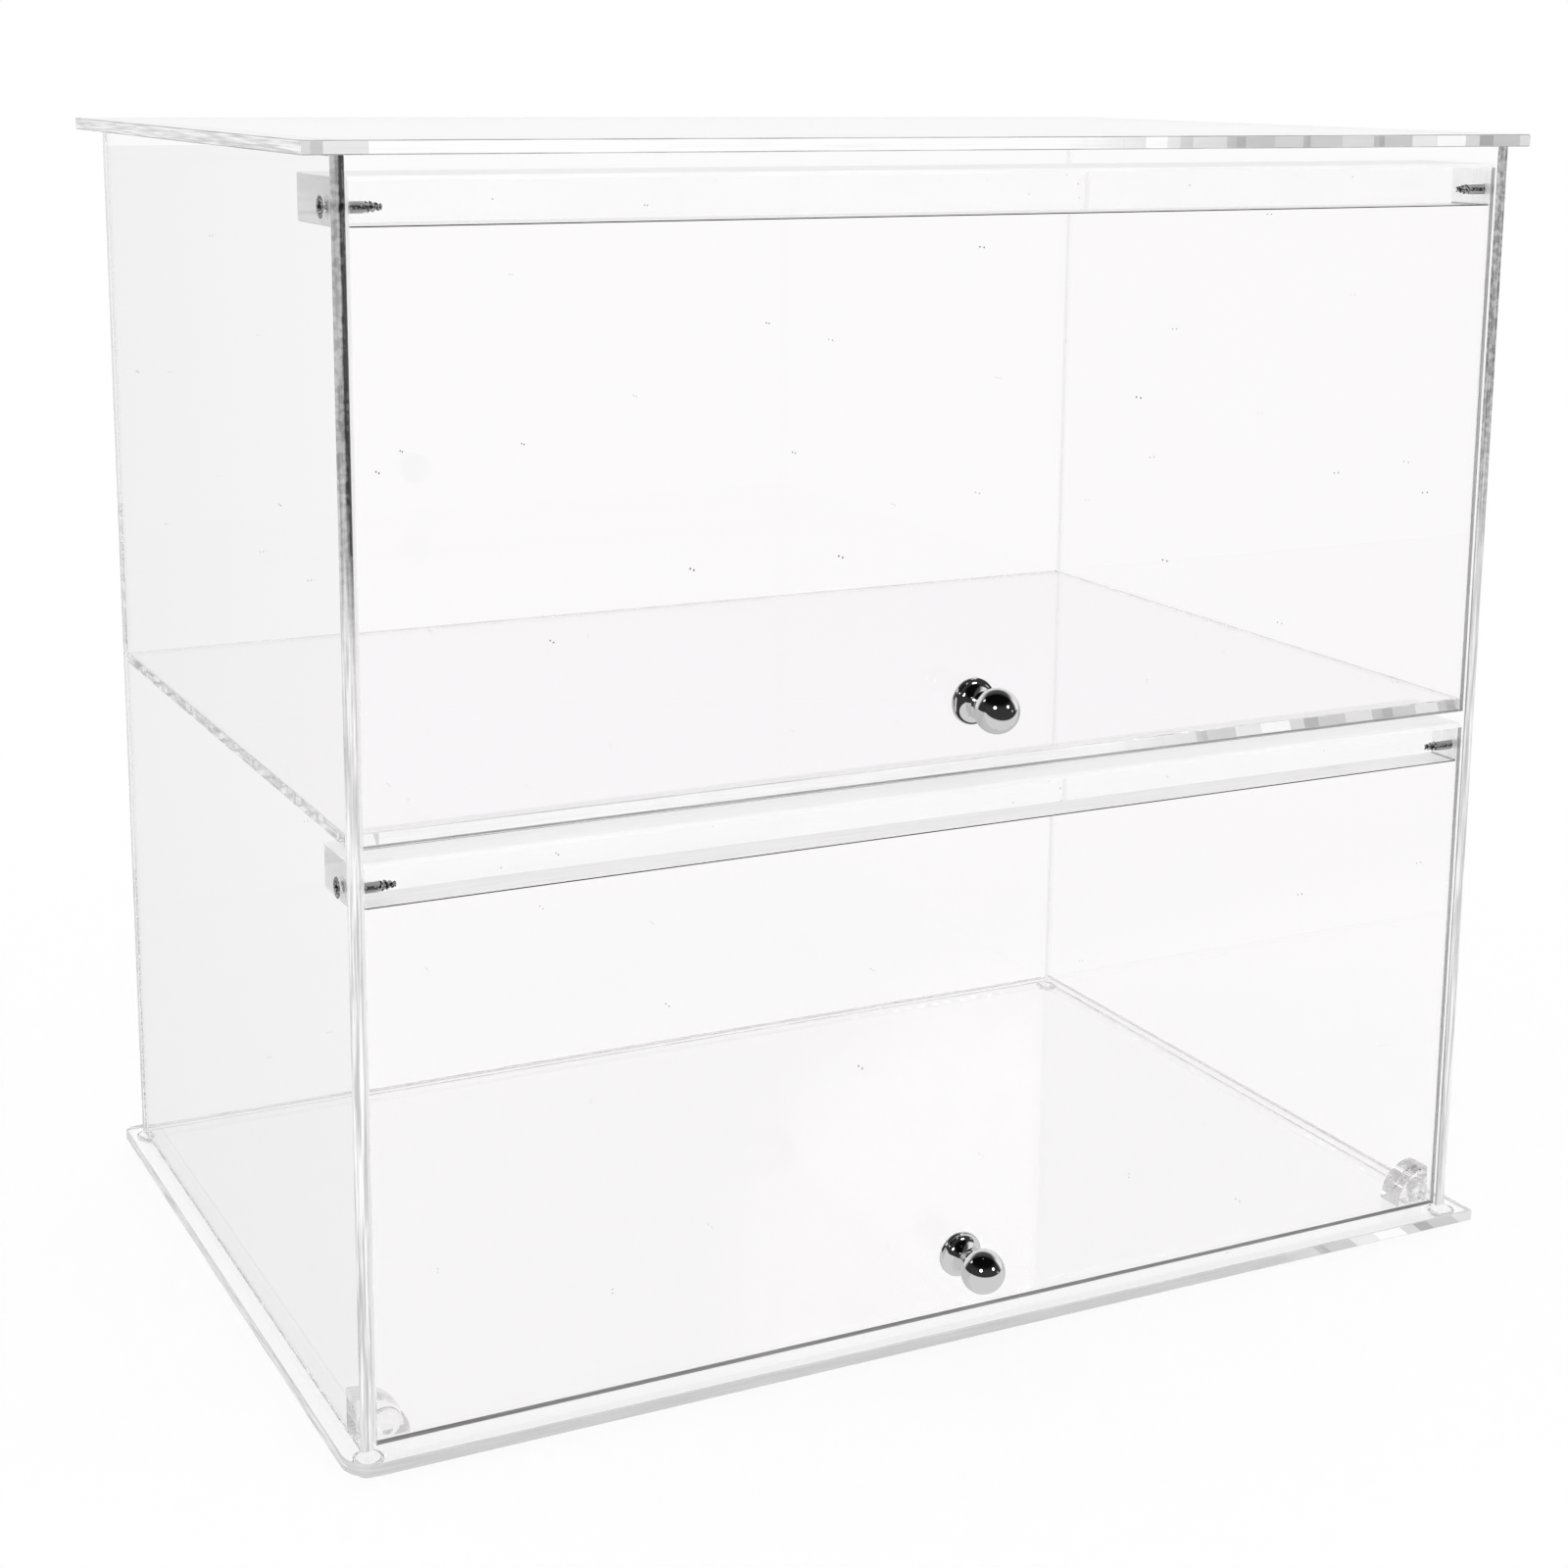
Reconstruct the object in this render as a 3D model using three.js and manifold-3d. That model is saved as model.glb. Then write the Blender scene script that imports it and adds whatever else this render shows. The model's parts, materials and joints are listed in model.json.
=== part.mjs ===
// Countertop display case with two tiers, made of clear acrylic sheet.
// A base plate, two side panels, a back panel, a shelf and a top plate are cemented edge to face.
// Each tier closes with a top-hung door: a sheet with a thick hinge bar cemented behind its top edge.
// The bar turns on two countersunk screws, which go in from the outside through the side panels.
// A chrome ball knob lifts each door. The upper door closes against the shelf's front edge, and the
// lower one against two quarter-round stop blocks with soft bumpers.
// Millimetres, +X right, +Y to the back, +Z up. The origin is on the table, under the middle of the
// whole outline, knobs included.
import * as THREE from 'three';
import { mergeVertices } from 'three/addons/utils/BufferGeometryUtils.js';
import Module from 'manifold-3d';

const wasm = await Module();
wasm.setup();

// Driving dimensions of the case
const caseWidth = 500; // over the outer faces of the side panels
const caseDepth = 332; // from the side panels' front edges to the back panel's outer face
const panelHeight = 464; // side and back panels, between base plate and top plate
const sheet = 5; // thickness of every clear sheet
const lowerRoom = 226; // clear height between base plate and shelf
const edgeBreak = 0.4; // small bevel left by polishing every sheet edge

// How far the two outer plates stand out past the panels
const baseOverhang = { side: 7, front: 10, rear: 6 };
const topOverhang = { side: 10, front: 1.5, rear: 6 };
const baseCornerRadius = { frontLeft: 12, frontRight: 0, rearRight: 0, rearLeft: 4 };

// Soft clear bumpers, the same for the feet and the door stops
const bumperDiameter = 12;
const bumperHeight = 3.2;
const bumperFlatDiameter = 4.5; // the flattened crown that touches the table or the door
const footInset = 9.5; // a foot's centre from the base plate's edges

// Stop blocks in the lower tier's front corners
const stopRadius = 16;
const stopLength = 12;
const stopBumperMargin = 0.5; // a stop bumper's rim from the panel and from the base plate

// Doors
const doorSideGap = 1; // between a door's end and the side panel
const doorSeatGap = 0.5; // between a closed door and what it closes against
const reliefBevel = 1.5; // on a door's upper front edge, which turns under the plate above it
const barHeight = 17;
const pivotSetback = 12.5; // the hinge axis behind the door's front face
const pivotBelowTop = 10.5; // the hinge axis below the door's top edge
const upperDoorTopGap = 7;
const upperBarDepth = 41;
const upperKnobHeight = 29; // a knob's axis above its door's bottom edge
const lowerDoorTopGap = 5.5;
const lowerDoorBottomGap = 1.5;
const lowerBarDepth = 29;
const lowerKnobHeight = 25.5;

// Hinge screws, countersunk in the side panels
const screwLength = 20; // overall, with the head
const screwDiameter = 4;
const screwHeadDiameter = 7.6;
const screwHeadHeight = 2.2;
const screwHeadEdge = 0.3; // the head's thin cylindrical rim
const screwTaper = 7; // the pointed stretch
const screwTipDiameter = 0.8;
const screwRunningGap = 0.35; // around the screw, in the panel that it turns in
const screwSeatGap = 0.2; // around the screw, in the bar that it holds

// Ball knobs, with the machine screws that hold them from inside
const knobBallDiameter = 17.7;
const knobBallReach = 18.2; // from the door's face to the ball's centre
const knobFlangeDiameter = 18.4;
const knobRim = 1.4; // thickness of the flange's edge
const knobNeckDiameter = 8.6;
const knobFlangeRise = 7; // where the flange's sweep runs out into the neck
const knobScrewDiameter = 4;
const knobScrewReach = 8; // into the knob
const knobScrewHeadDiameter = 8;
const knobScrewHeadHeight = 2.6;
const knobScrewCrownShare = 0.72; // the flat on the rounded head, of its diameter
const knobScrewGap = 0.2;

// Fineness of the round forms and one overrun for every cut
const roundSteps = 40;
const screwSteps = 20;
const arcSteps = 8;
const domeSteps = 5;
const overrun = 2;

// Places that follow from these sizes
const frontFace = -caseDepth / 2;
const rearFace = caseDepth / 2;
const sideInner = caseWidth / 2 - sheet;
const baseTop = bumperHeight + sheet;
const shelfUnderside = baseTop + lowerRoom;
const topUnderside = baseTop + panelHeight;
const shelfFront = frontFace + sheet + doorSeatGap;
const doorWidth = 2 * (sideInner - doorSideGap);
const knobReach = knobBallReach + knobBallDiameter / 2;
const rearReach = rearFace + Math.max(baseOverhang.rear, topOverhang.rear);
const middle = (rearReach + frontFace - knobReach) / 2;

// Finishes
const finishes = {
  acrylic: { color: 0xeef4f5, roughness: 0.04, metalness: 0, transparent: true, opacity: 0.3 },
  bumper: { color: 0xf2f4f3, roughness: 0.25, metalness: 0, transparent: true, opacity: 0.6 },
  chrome: { color: 0xd8dadc, roughness: 0.06, metalness: 1 },
  steel: { color: 0x6c6e72, roughness: 0.3, metalness: 1 },
};

// Bare geometry with only positions, its shared corners merged
function bare(geometry) {
  geometry.deleteAttribute('normal');
  geometry.deleteAttribute('uv');
  return mergeVertices(geometry);
}

function toSolid(geometry) {
  const clean = bare(geometry.clone());
  const mesh = new wasm.Mesh({
    numProp: 3,
    vertProperties: clean.attributes.position.array,
    triVerts: new Uint32Array(clean.index.array),
  });
  mesh.merge();
  return new wasm.Manifold(mesh);
}

function toGeometry(solid) {
  const mesh = solid.getMesh();
  const geometry = new THREE.BufferGeometry();
  geometry.setAttribute('position', new THREE.BufferAttribute(mesh.vertProperties, 3));
  geometry.setIndex(new THREE.BufferAttribute(mesh.triVerts, 1));
  return geometry;
}

function cut(geometry, cutters) {
  const solid = cutters.reduce((body, cutter) => body.subtract(toSolid(cutter)), toSolid(geometry));
  return toGeometry(solid);
}

// A flat outline extruded to a thickness, with every edge broken. The bevel stays inside the size
// because the outline is drawn smaller by it.
function extrude(outline, thickness) {
  return new THREE.ExtrudeGeometry(outline, {
    depth: thickness - 2 * edgeBreak,
    bevelEnabled: true,
    bevelSize: edgeBreak,
    bevelThickness: edgeBreak,
    bevelSegments: 1,
    curveSegments: arcSteps,
  }).translate(0, 0, edgeBreak);
}

const squareCorners = { frontLeft: 0, frontRight: 0, rearRight: 0, rearLeft: 0 };

// A rectangle with its own radius at each corner, drawn inside by the edge break
function rectangle(left, right, front, rear, corners = squareCorners) {
  const [x0, x1] = [left + edgeBreak, right - edgeBreak];
  const [y0, y1] = [front + edgeBreak, rear - edgeBreak];
  const inside = (radius) => Math.max(radius - edgeBreak, 0);
  const outline = new THREE.Shape();
  const turn = (x, y, radius, start) => {
    if (radius > 0) outline.absarc(x, y, radius, start, start + Math.PI / 2);
    else outline.lineTo(x, y);
  };
  const [fl, fr] = [inside(corners.frontLeft), inside(corners.frontRight)];
  const [rr, rl] = [inside(corners.rearRight), inside(corners.rearLeft)];
  outline.moveTo(x0 + fl, y0);
  turn(x1 - fr, y0 + fr, fr, -Math.PI / 2);
  turn(x1 - rr, y1 - rr, rr, 0);
  turn(x0 + rl, y1 - rl, rl, Math.PI / 2);
  turn(x0 + fl, y0 + fl, fl, Math.PI);
  return outline;
}

// A plate that lies flat, its underside at the height given
function plate(left, right, front, rear, underside, corners) {
  return extrude(rectangle(left, right, front, rear, corners), sheet).translate(0, 0, underside);
}

// A panel that stands on edge along the case's depth, its left face at x
function standingAlongDepth(x, front, rear, bottom, height) {
  const outline = rectangle(front, rear, bottom, bottom + height);
  return extrude(outline, sheet).rotateX(Math.PI / 2).rotateZ(Math.PI / 2).translate(x, 0, 0);
}

// A panel that stands on edge along the case's width, its front face at y
function standingAlongWidth(left, right, y, bottom, height) {
  const outline = rectangle(left, right, bottom, bottom + height);
  return extrude(outline, sheet).rotateX(Math.PI / 2).translate(0, y + sheet, 0);
}

// A turned form. Its profile is a list of radius and distance along the axis, from one end to the
// other. It points along +X when side is 1 and along -X when side is -1.
function turned(profile, steps) {
  return new THREE.LatheGeometry(profile.map(([r, h]) => new THREE.Vector2(r, h)), steps);
}

function alongX(geometry, side) {
  return geometry.rotateZ(-side * Math.PI / 2);
}

// A soft bumper with its flat back at height zero and its crown above it
function bumperDome() {
  const [base, flat] = [bumperDiameter / 2, bumperFlatDiameter / 2];
  const profile = [[0, 0], [base, 0]];
  for (let i = 1; i <= domeSteps; i += 1) {
    const angle = (i / domeSteps) * Math.PI / 2;
    profile.push([flat + (base - flat) * Math.cos(angle), bumperHeight * Math.sin(angle)]);
  }
  profile.push([0, bumperHeight]);
  return turned(profile, roundSteps / 2);
}

// A hinge screw along its own axis, the outer face of its head at zero, grown all round by a gap.
// For the cutters of the panels, the head's mouth runs past the outer face.
function hingeScrew(gap, mouth) {
  const [head, body, tip] = [screwHeadDiameter, screwDiameter, screwTipDiameter].map((d) => d / 2 + gap);
  return turned([
    [0, -mouth],
    [head, -mouth],
    [head, screwHeadEdge],
    [body, screwHeadHeight + gap],
    [body, screwLength - screwTaper],
    [tip, screwLength + gap],
    [0, screwLength + gap],
  ], screwSteps);
}

// The place of a hinge screw's outer face, on one side of the case
function atHinge(geometry, side, axis) {
  return alongX(geometry, -side).translate(side * caseWidth / 2, axis.y, axis.z);
}

// A knob's machine screw: its round head lies inside the door, its shank runs forward into the knob
function knobScrew(gap) {
  const [head, body] = [knobScrewHeadDiameter / 2, knobScrewDiameter / 2 + gap];
  const headStart = knobScrewHeadHeight / 2;
  return turned([
    [0, -knobScrewHeadHeight],
    [head * knobScrewCrownShare, -knobScrewHeadHeight],
    [head, -headStart],
    [head, 0],
    [body, 0],
    [body, sheet + knobScrewReach + gap],
    [0, sheet + knobScrewReach + gap],
  ], screwSteps);
}

// The bore for that screw, long enough to run out of both faces of what it passes through
function knobScrewBore() {
  const radius = knobScrewDiameter / 2 + knobScrewGap;
  const end = sheet + knobScrewReach + knobScrewGap;
  return turned([[0, -overrun], [radius, -overrun], [radius, end], [0, end]], screwSteps);
}

// A ball knob with its flange, from the door's face outwards along +Y of the profile
function knobProfile() {
  const [flange, neck, ball] = [knobFlangeDiameter, knobNeckDiameter, knobBallDiameter].map((d) => d / 2);
  const profile = [[0, 0], [flange, 0], [flange, knobRim]];
  for (let i = 1; i <= arcSteps; i += 1) {
    const angle = (i / arcSteps) * Math.PI / 2;
    const radius = flange - (flange - neck) * Math.sin(angle);
    profile.push([radius, knobFlangeRise - (knobFlangeRise - knobRim) * Math.cos(angle)]);
  }
  const start = Math.asin(neck / ball);
  for (let i = 0; i < 2 * arcSteps; i += 1) {
    const angle = start + (i / (2 * arcSteps)) * (Math.PI - start);
    profile.push([ball * Math.sin(angle), knobBallReach - ball * Math.cos(angle)]);
  }
  profile.push([0, knobReach]);
  return profile;
}

// Turns a form from its own axis, which is +Y, to face forwards with its foot at y
function facingFront(geometry, x, y, z) {
  return geometry.rotateX(Math.PI).translate(x, y, z);
}

// A quarter-round block in the corner of base plate and side panel, its front face at y
function stopBlock(side, y) {
  const [inner, corner] = [stopRadius - edgeBreak, edgeBreak];
  const outline = new THREE.Shape();
  outline.moveTo(corner, corner);
  outline.lineTo(inner, corner);
  outline.absarc(corner, corner, inner - corner, 0, Math.PI / 2);
  const block = extrude(outline, stopLength).rotateX(Math.PI / 2).translate(0, stopLength, 0);
  if (side > 0) block.rotateZ(Math.PI).translate(0, stopLength, 0);
  return block.translate(side * sideInner, y, baseTop);
}

const assembly = new THREE.Group();
const solids = new THREE.Group();
solids.position.y = -middle;
assembly.add(solids);

function add(name, finish, geometry) {
  const material = new THREE.MeshStandardMaterial(finishes[finish]);
  const shape = bare(geometry);
  shape.computeVertexNormals();
  const mesh = new THREE.Mesh(shape, material);
  mesh.name = name;
  solids.add(mesh);
}

// The two doors, from their own sizes. A door's bottom is where its tier ends: the upper one covers
// the shelf's front edge, the lower one stops just above the base plate.
const doors = [
  {
    tier: 'upper',
    top: topUnderside - upperDoorTopGap,
    bottom: shelfUnderside,
    barDepth: upperBarDepth,
    knobHeight: upperKnobHeight,
  },
  {
    tier: 'lower',
    top: shelfUnderside - lowerDoorTopGap,
    bottom: baseTop + lowerDoorBottomGap,
    barDepth: lowerBarDepth,
    knobHeight: lowerKnobHeight,
  },
].map((door) => ({ ...door, axis: { y: frontFace + pivotSetback, z: door.top - pivotBelowTop } }));

// The door sheet, its upper front edge bevelled so that it turns clear of the plate above
function doorSheet(door) {
  const [left, right] = [-doorWidth / 2, doorWidth / 2];
  const flat = standingAlongWidth(left, right, frontFace, door.bottom, door.top - door.bottom);
  const wedge = new THREE.Shape();
  wedge.moveTo(frontFace - overrun, door.top + overrun);
  wedge.lineTo(frontFace - overrun, door.top - reliefBevel - overrun);
  wedge.lineTo(frontFace + reliefBevel + overrun, door.top + overrun);
  const depth = doorWidth + 2 * overrun;
  const bevel = new THREE.ExtrudeGeometry(wedge, { depth, bevelEnabled: false });
  bevel.rotateX(Math.PI / 2).rotateZ(Math.PI / 2).translate(-depth / 2, 0, 0);
  const bore = facingFront(knobScrewBore(), 0, frontFace + sheet, door.bottom + door.knobHeight);
  return cut(flat, [bevel, bore]);
}

function hingeBar(door) {
  const front = frontFace + sheet;
  const outline = rectangle(front, front + door.barDepth, door.top - barHeight, door.top);
  const bar = extrude(outline, doorWidth).rotateX(Math.PI / 2).rotateZ(Math.PI / 2);
  bar.translate(-doorWidth / 2, 0, 0);
  return cut(bar, [-1, 1].map((side) => atHinge(hingeScrew(screwSeatGap, 0), side, door.axis)));
}

function sidePanel(side) {
  const left = side < 0 ? -caseWidth / 2 : sideInner;
  const panel = standingAlongDepth(left, frontFace, rearFace - sheet, baseTop, panelHeight);
  return cut(panel, doors.map((door) => atHinge(hingeScrew(screwRunningGap, overrun), side, door.axis)));
}

// Fixed pieces
const base = {
  left: -caseWidth / 2 - baseOverhang.side,
  right: caseWidth / 2 + baseOverhang.side,
  front: frontFace - baseOverhang.front,
  rear: rearFace + baseOverhang.rear,
};
const top = {
  left: -caseWidth / 2 - topOverhang.side,
  right: caseWidth / 2 + topOverhang.side,
  front: frontFace - topOverhang.front,
  rear: rearFace + topOverhang.rear,
};

add('base_plate', 'acrylic', plate(base.left, base.right, base.front, base.rear, bumperHeight, baseCornerRadius));
add('side_panel_left', 'acrylic', sidePanel(-1));
add('side_panel_right', 'acrylic', sidePanel(1));
add('back_panel', 'acrylic', standingAlongWidth(-caseWidth / 2, caseWidth / 2, rearFace - sheet, baseTop, panelHeight));
add('shelf', 'acrylic', plate(-sideInner, sideInner, shelfFront, rearFace - sheet, shelfUnderside));
add('top_plate', 'acrylic', plate(top.left, top.right, top.front, top.rear, topUnderside));

const stopFace = frontFace + sheet + doorSeatGap + bumperHeight;
const stopBumperPlace = bumperDiameter / 2 + stopBumperMargin;
for (const [word, side] of [['left', -1], ['right', 1]]) {
  add(`stop_block_${word}`, 'acrylic', stopBlock(side, stopFace));
  const place = [side * (sideInner - stopBumperPlace), stopFace, baseTop + stopBumperPlace];
  add(`stop_bumper_${word}`, 'bumper', facingFront(bumperDome(), ...place));
}

const feet = {
  front_left: [base.left + footInset, base.front + footInset],
  front_right: [base.right - footInset, base.front + footInset],
  rear_left: [base.left + footInset, base.rear - footInset],
  rear_right: [base.right - footInset, base.rear - footInset],
};
for (const [place, [x, y]] of Object.entries(feet)) {
  add(`foot_${place}`, 'bumper', bumperDome().rotateX(-Math.PI / 2).translate(x, y, bumperHeight));
}

// Doors with their hinge bars, screws and knobs
for (const door of doors) {
  add(`${door.tier}_door`, 'acrylic', doorSheet(door));
  add(`${door.tier}_hinge_bar`, 'acrylic', hingeBar(door));
  for (const [word, side] of [['left', -1], ['right', 1]]) {
    add(`${door.tier}_hinge_screw_${word}`, 'steel', atHinge(hingeScrew(0, 0), side, door.axis));
  }
  const height = door.bottom + door.knobHeight;
  const bore = facingFront(knobScrewBore(), 0, frontFace + sheet, height);
  const knob = facingFront(turned(knobProfile(), roundSteps), 0, frontFace, height);
  add(`${door.tier}_knob`, 'chrome', cut(knob, [bore]));
  add(`${door.tier}_knob_screw`, 'steel', facingFront(knobScrew(0), 0, frontFace + sheet, height));
}

export default assembly;
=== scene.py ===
# %% [markdown]
# # A countertop display case in clear acrylic
# The construction comes packed, as a fixed frame: two doors hung on screws, plates cemented edge to
# face, soft bumpers and ball knobs. This lesson gives it its looks. Clear plastic has hardly any
# colour of its own, so most of the work goes into what it bends and throws back: the white studio,
# the sawn and polished edges, the cement lines and the small chromed and steel parts.

# %% The frame
import json
import math

import bmesh
import bpy
from mathutils import Matrix, Vector


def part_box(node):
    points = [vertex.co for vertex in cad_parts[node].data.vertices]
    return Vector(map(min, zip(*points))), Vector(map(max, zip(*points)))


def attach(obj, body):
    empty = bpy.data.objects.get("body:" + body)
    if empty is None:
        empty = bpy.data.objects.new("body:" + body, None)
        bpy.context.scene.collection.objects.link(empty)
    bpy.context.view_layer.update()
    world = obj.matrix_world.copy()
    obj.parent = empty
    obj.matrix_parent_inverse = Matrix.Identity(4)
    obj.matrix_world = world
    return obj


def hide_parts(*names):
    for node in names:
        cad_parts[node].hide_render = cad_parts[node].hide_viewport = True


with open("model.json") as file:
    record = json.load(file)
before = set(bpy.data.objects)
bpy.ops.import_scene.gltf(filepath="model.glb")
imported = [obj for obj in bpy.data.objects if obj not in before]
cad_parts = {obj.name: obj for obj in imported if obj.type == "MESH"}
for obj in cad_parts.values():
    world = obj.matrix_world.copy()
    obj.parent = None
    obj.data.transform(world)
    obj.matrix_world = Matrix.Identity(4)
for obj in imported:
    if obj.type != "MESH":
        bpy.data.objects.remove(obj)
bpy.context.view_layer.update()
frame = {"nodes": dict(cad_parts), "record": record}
MM = 0.001
X, Y, Z = 0, 1, 2
CORNER_SIGNS = ((-1, -1), (1, -1), (1, 1), (-1, 1))
NODES = frame["nodes"]
SLOT_OF = {entry["node"]: entry["material_slot"] for entry in frame["record"]["subparts"]}

# %% [markdown]
# ## The camera
# The photograph was taken from the front left, just above the height of the top plate, and its
# upright edges stay almost parallel. A lens shifted far down does that. Only a part of that shift is
# kept here and the rest is made up by tilting the camera, so that the whole case also stays inside
# the picture when the camera goes round it.

# %% The camera
CAMERA_PLACE = Vector((-0.5144, -1.0138, 0.5026))
CAMERA_YAW = math.radians(26.76)
CAMERA_PITCH = math.radians(11.27)
CAMERA_ROLL = math.radians(0.51)
CAMERA_LENS = 61.2
CAMERA_SENSOR = 36.0
CAMERA_SHIFT = -0.12
CAMERA_NEAR = 0.01
CAMERA_FAR = 60.0


def put_in_scene(name, data):
    """A new object that shows this mesh, lamp or camera."""
    made = bpy.data.objects.new(name, data)
    bpy.context.collection.objects.link(made)
    return made


def mesh_of(name, corners, faces=()):
    mesh = bpy.data.meshes.new(name)
    mesh.from_pydata([tuple(corner) for corner in corners], [], faces)
    return mesh


def make_camera():
    lens = bpy.data.cameras.new("camera")
    lens.lens = CAMERA_LENS
    lens.sensor_width = CAMERA_SENSOR
    lens.shift_y = CAMERA_SHIFT
    lens.clip_start = CAMERA_NEAR
    lens.clip_end = CAMERA_FAR
    camera = put_in_scene("camera", lens)
    aim = Matrix.Rotation(-CAMERA_YAW, 4, "Z") @ Matrix.Rotation(math.pi / 2 - CAMERA_PITCH, 4, "X")
    camera.matrix_world = Matrix.Translation(CAMERA_PLACE) @ aim @ Matrix.Rotation(CAMERA_ROLL, 4, "Z")
    bpy.context.scene.camera = camera


make_camera()
print("camera at", [round(v, 3) for v in CAMERA_PLACE], "with a", CAMERA_LENS, "mm lens")

# %% [markdown]
# ## Node maths in plain Python
# Materials and Geometry Nodes are both trees of nodes. Written one by one, even a simple sum takes
# six lines. The class Wire stands for one output of a node, and its operators add Math nodes, so
# that `1 - mask * 2` reads as maths. The class Board holds a tree and adds any other node with one
# method, first its settings, then the values or wires of its sockets.


# %% Node maths in plain Python
class Wire:
    """One output of a node. Arithmetic on it adds Math nodes to the same tree."""

    def __init__(self, board, socket):
        self.board = board
        self.socket = socket

    def maths(self, operation, *values):
        """A Math node on these values, or on this wire alone."""
        sockets = dict(enumerate(values or (self,)))
        return self.board.wire(self.board.node("Math", {"operation": operation}, sockets))

    def __add__(self, other):
        return self.maths("ADD", self, other)

    def __radd__(self, other):
        return self.maths("ADD", other, self)

    def __sub__(self, other):
        return self.maths("SUBTRACT", self, other)

    def __rsub__(self, other):
        return self.maths("SUBTRACT", other, self)

    def __mul__(self, other):
        return self.maths("MULTIPLY", self, other)

    def __rmul__(self, other):
        return self.maths("MULTIPLY", other, self)

    def __truediv__(self, other):
        return self.maths("DIVIDE", self, other)

    def __gt__(self, other):
        return self.maths("GREATER_THAN", self, other)

    def __lt__(self, other):
        return self.maths("LESS_THAN", self, other)

    def __abs__(self):
        return self.maths("ABSOLUTE")

    def at_least(self, other):
        return self.maths("MAXIMUM", self, other)

    def between(self, start, end):
        """Goes evenly from one value to another while this wire goes from 0 to 1."""
        return self * (end - start) + start

    def ramp(self, low, high, low_value=0.0, high_value=1.0):
        """Goes smoothly from one value to another while this wire goes from low to high."""
        settings = {"interpolation_type": "SMOOTHSTEP"}
        sockets = {"Value": self, "From Min": low, "From Max": high}
        sockets.update({"To Min": low_value, "To Max": high_value})
        return self.board.wire(self.board.node("MapRange", settings, sockets))


# %% The board that holds the nodes
def grey(value):
    return (value, value, value, 1.0)


class Board:
    """A tree of nodes: of a material, of the world or of a Geometry Nodes modifier."""

    def __init__(self, tree):
        self.tree = tree

    def node(self, kind, settings=None, sockets=None):
        made = self.tree.nodes.new(kind if "Node" in kind else "ShaderNode" + kind)
        for name, value in (settings or {}).items():
            setattr(made, name, value)
        for name, value in (sockets or {}).items():
            if isinstance(value, Wire):
                self.tree.links.new(value.socket, made.inputs[name])
            else:
                made.inputs[name].default_value = value
        return made

    def wire(self, node, name=0):
        return Wire(self, node.outputs[name])

    def place(self):
        """Where a point lies on the object, in metres."""
        return self.wire(self.node("TexCoord"), "Object")

    def glow(self, strength):
        return self.wire(self.node("Emission", None, {"Color": grey(1.0), "Strength": strength}))

    def nothing(self, colour=1.0):
        """A face that is not there for light, or takes only a little of it."""
        return self.wire(self.node("BsdfTransparent", None, {"Color": grey(colour)}))

    def finish(self, sockets):
        """The finish of a surface, by the Principled shader."""
        return self.wire(self.node("BsdfPrincipled", None, sockets))

    def show(self, surface):
        self.node("OutputMaterial", None, {"Surface": surface})

    def vector(self, operation, *values, output=0):
        made = self.node("VectorMath", {"operation": operation}, dict(enumerate(values)))
        return self.wire(made, output)

    def length(self, vector):
        return self.vector("LENGTH", vector, output="Value")

    def split(self, vector):
        made = self.node("SeparateXYZ", None, {"Vector": vector})
        return [self.wire(made, axis) for axis in "XYZ"]

    def joined(self, x, y, z):
        return self.wire(self.node("CombineXYZ", None, {"X": x, "Y": y, "Z": z}))

    def noise(self, place, grains, detail):
        """A noise whose grains have a length of their own along each axis."""
        scaled = self.vector("MULTIPLY", place, tuple(1 / grain for grain in grains))
        return self.wire(self.node("TexNoise", None, {"Vector": scaled, "Scale": 1.0, "Detail": detail}))

    def blend(self, share, first, second):
        return self.wire(self.node("MixShader", None, {0: share, 1: first, 2: second}))

    def tinted(self, share, first=grey(0.0), second=grey(1.0)):
        """From one colour to another, or from black to white."""
        made = self.node("Mix", {"data_type": "RGBA"}, {"Factor": share})
        colours = {"A_Color": first, "B_Color": second}
        for socket in made.inputs:
            if socket.identifier in colours:
                socket.default_value = colours[socket.identifier]
        return Wire(self, next(s for s in made.outputs if s.identifier == "Result_Color"))


NOISE_SPAN = (0.3, 0.7)


def empty_board(owner):
    owner.use_nodes = True
    owner.node_tree.nodes.clear()
    return Board(owner.node_tree)


def new_material(name):
    material = bpy.data.materials.new(name)
    return material, empty_board(material)


print("node helpers are ready")

# %% [markdown]
# ## The studio
# Clear things are photographed against white in a room that is dark elsewhere. What is seen through
# a sheet is the white backdrop. What a polished edge or a chromed ball throws back comes partly from
# the dark side of the room, behind the photographer, and so they draw themselves in grey and black.
# The world does the same with the Light Path node: white for the camera, white up to a certain height
# for rays that went through plastic, dark in front and light behind for reflections, and one plain
# level for everything that lights a matt surface. A reflection that is itself seen through a sheet
# comes from inside the case, where the room is far from dark, so the front is lighter there. The
# node tells this by its depths, which count the bounces of each kind that a ray has behind it.
# A chromed ball shows every lamp in the room as a small bright spot. In the photograph there are two
# clear spots, a smaller one to their right and a dim one at the upper left, and a spot's place on the
# ball gives the direction of its lamp. These spots are in the world, for reflections alone: a plate
# of plastic would show a real lamp too, as a bright square on the base and again on the shelf.

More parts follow.
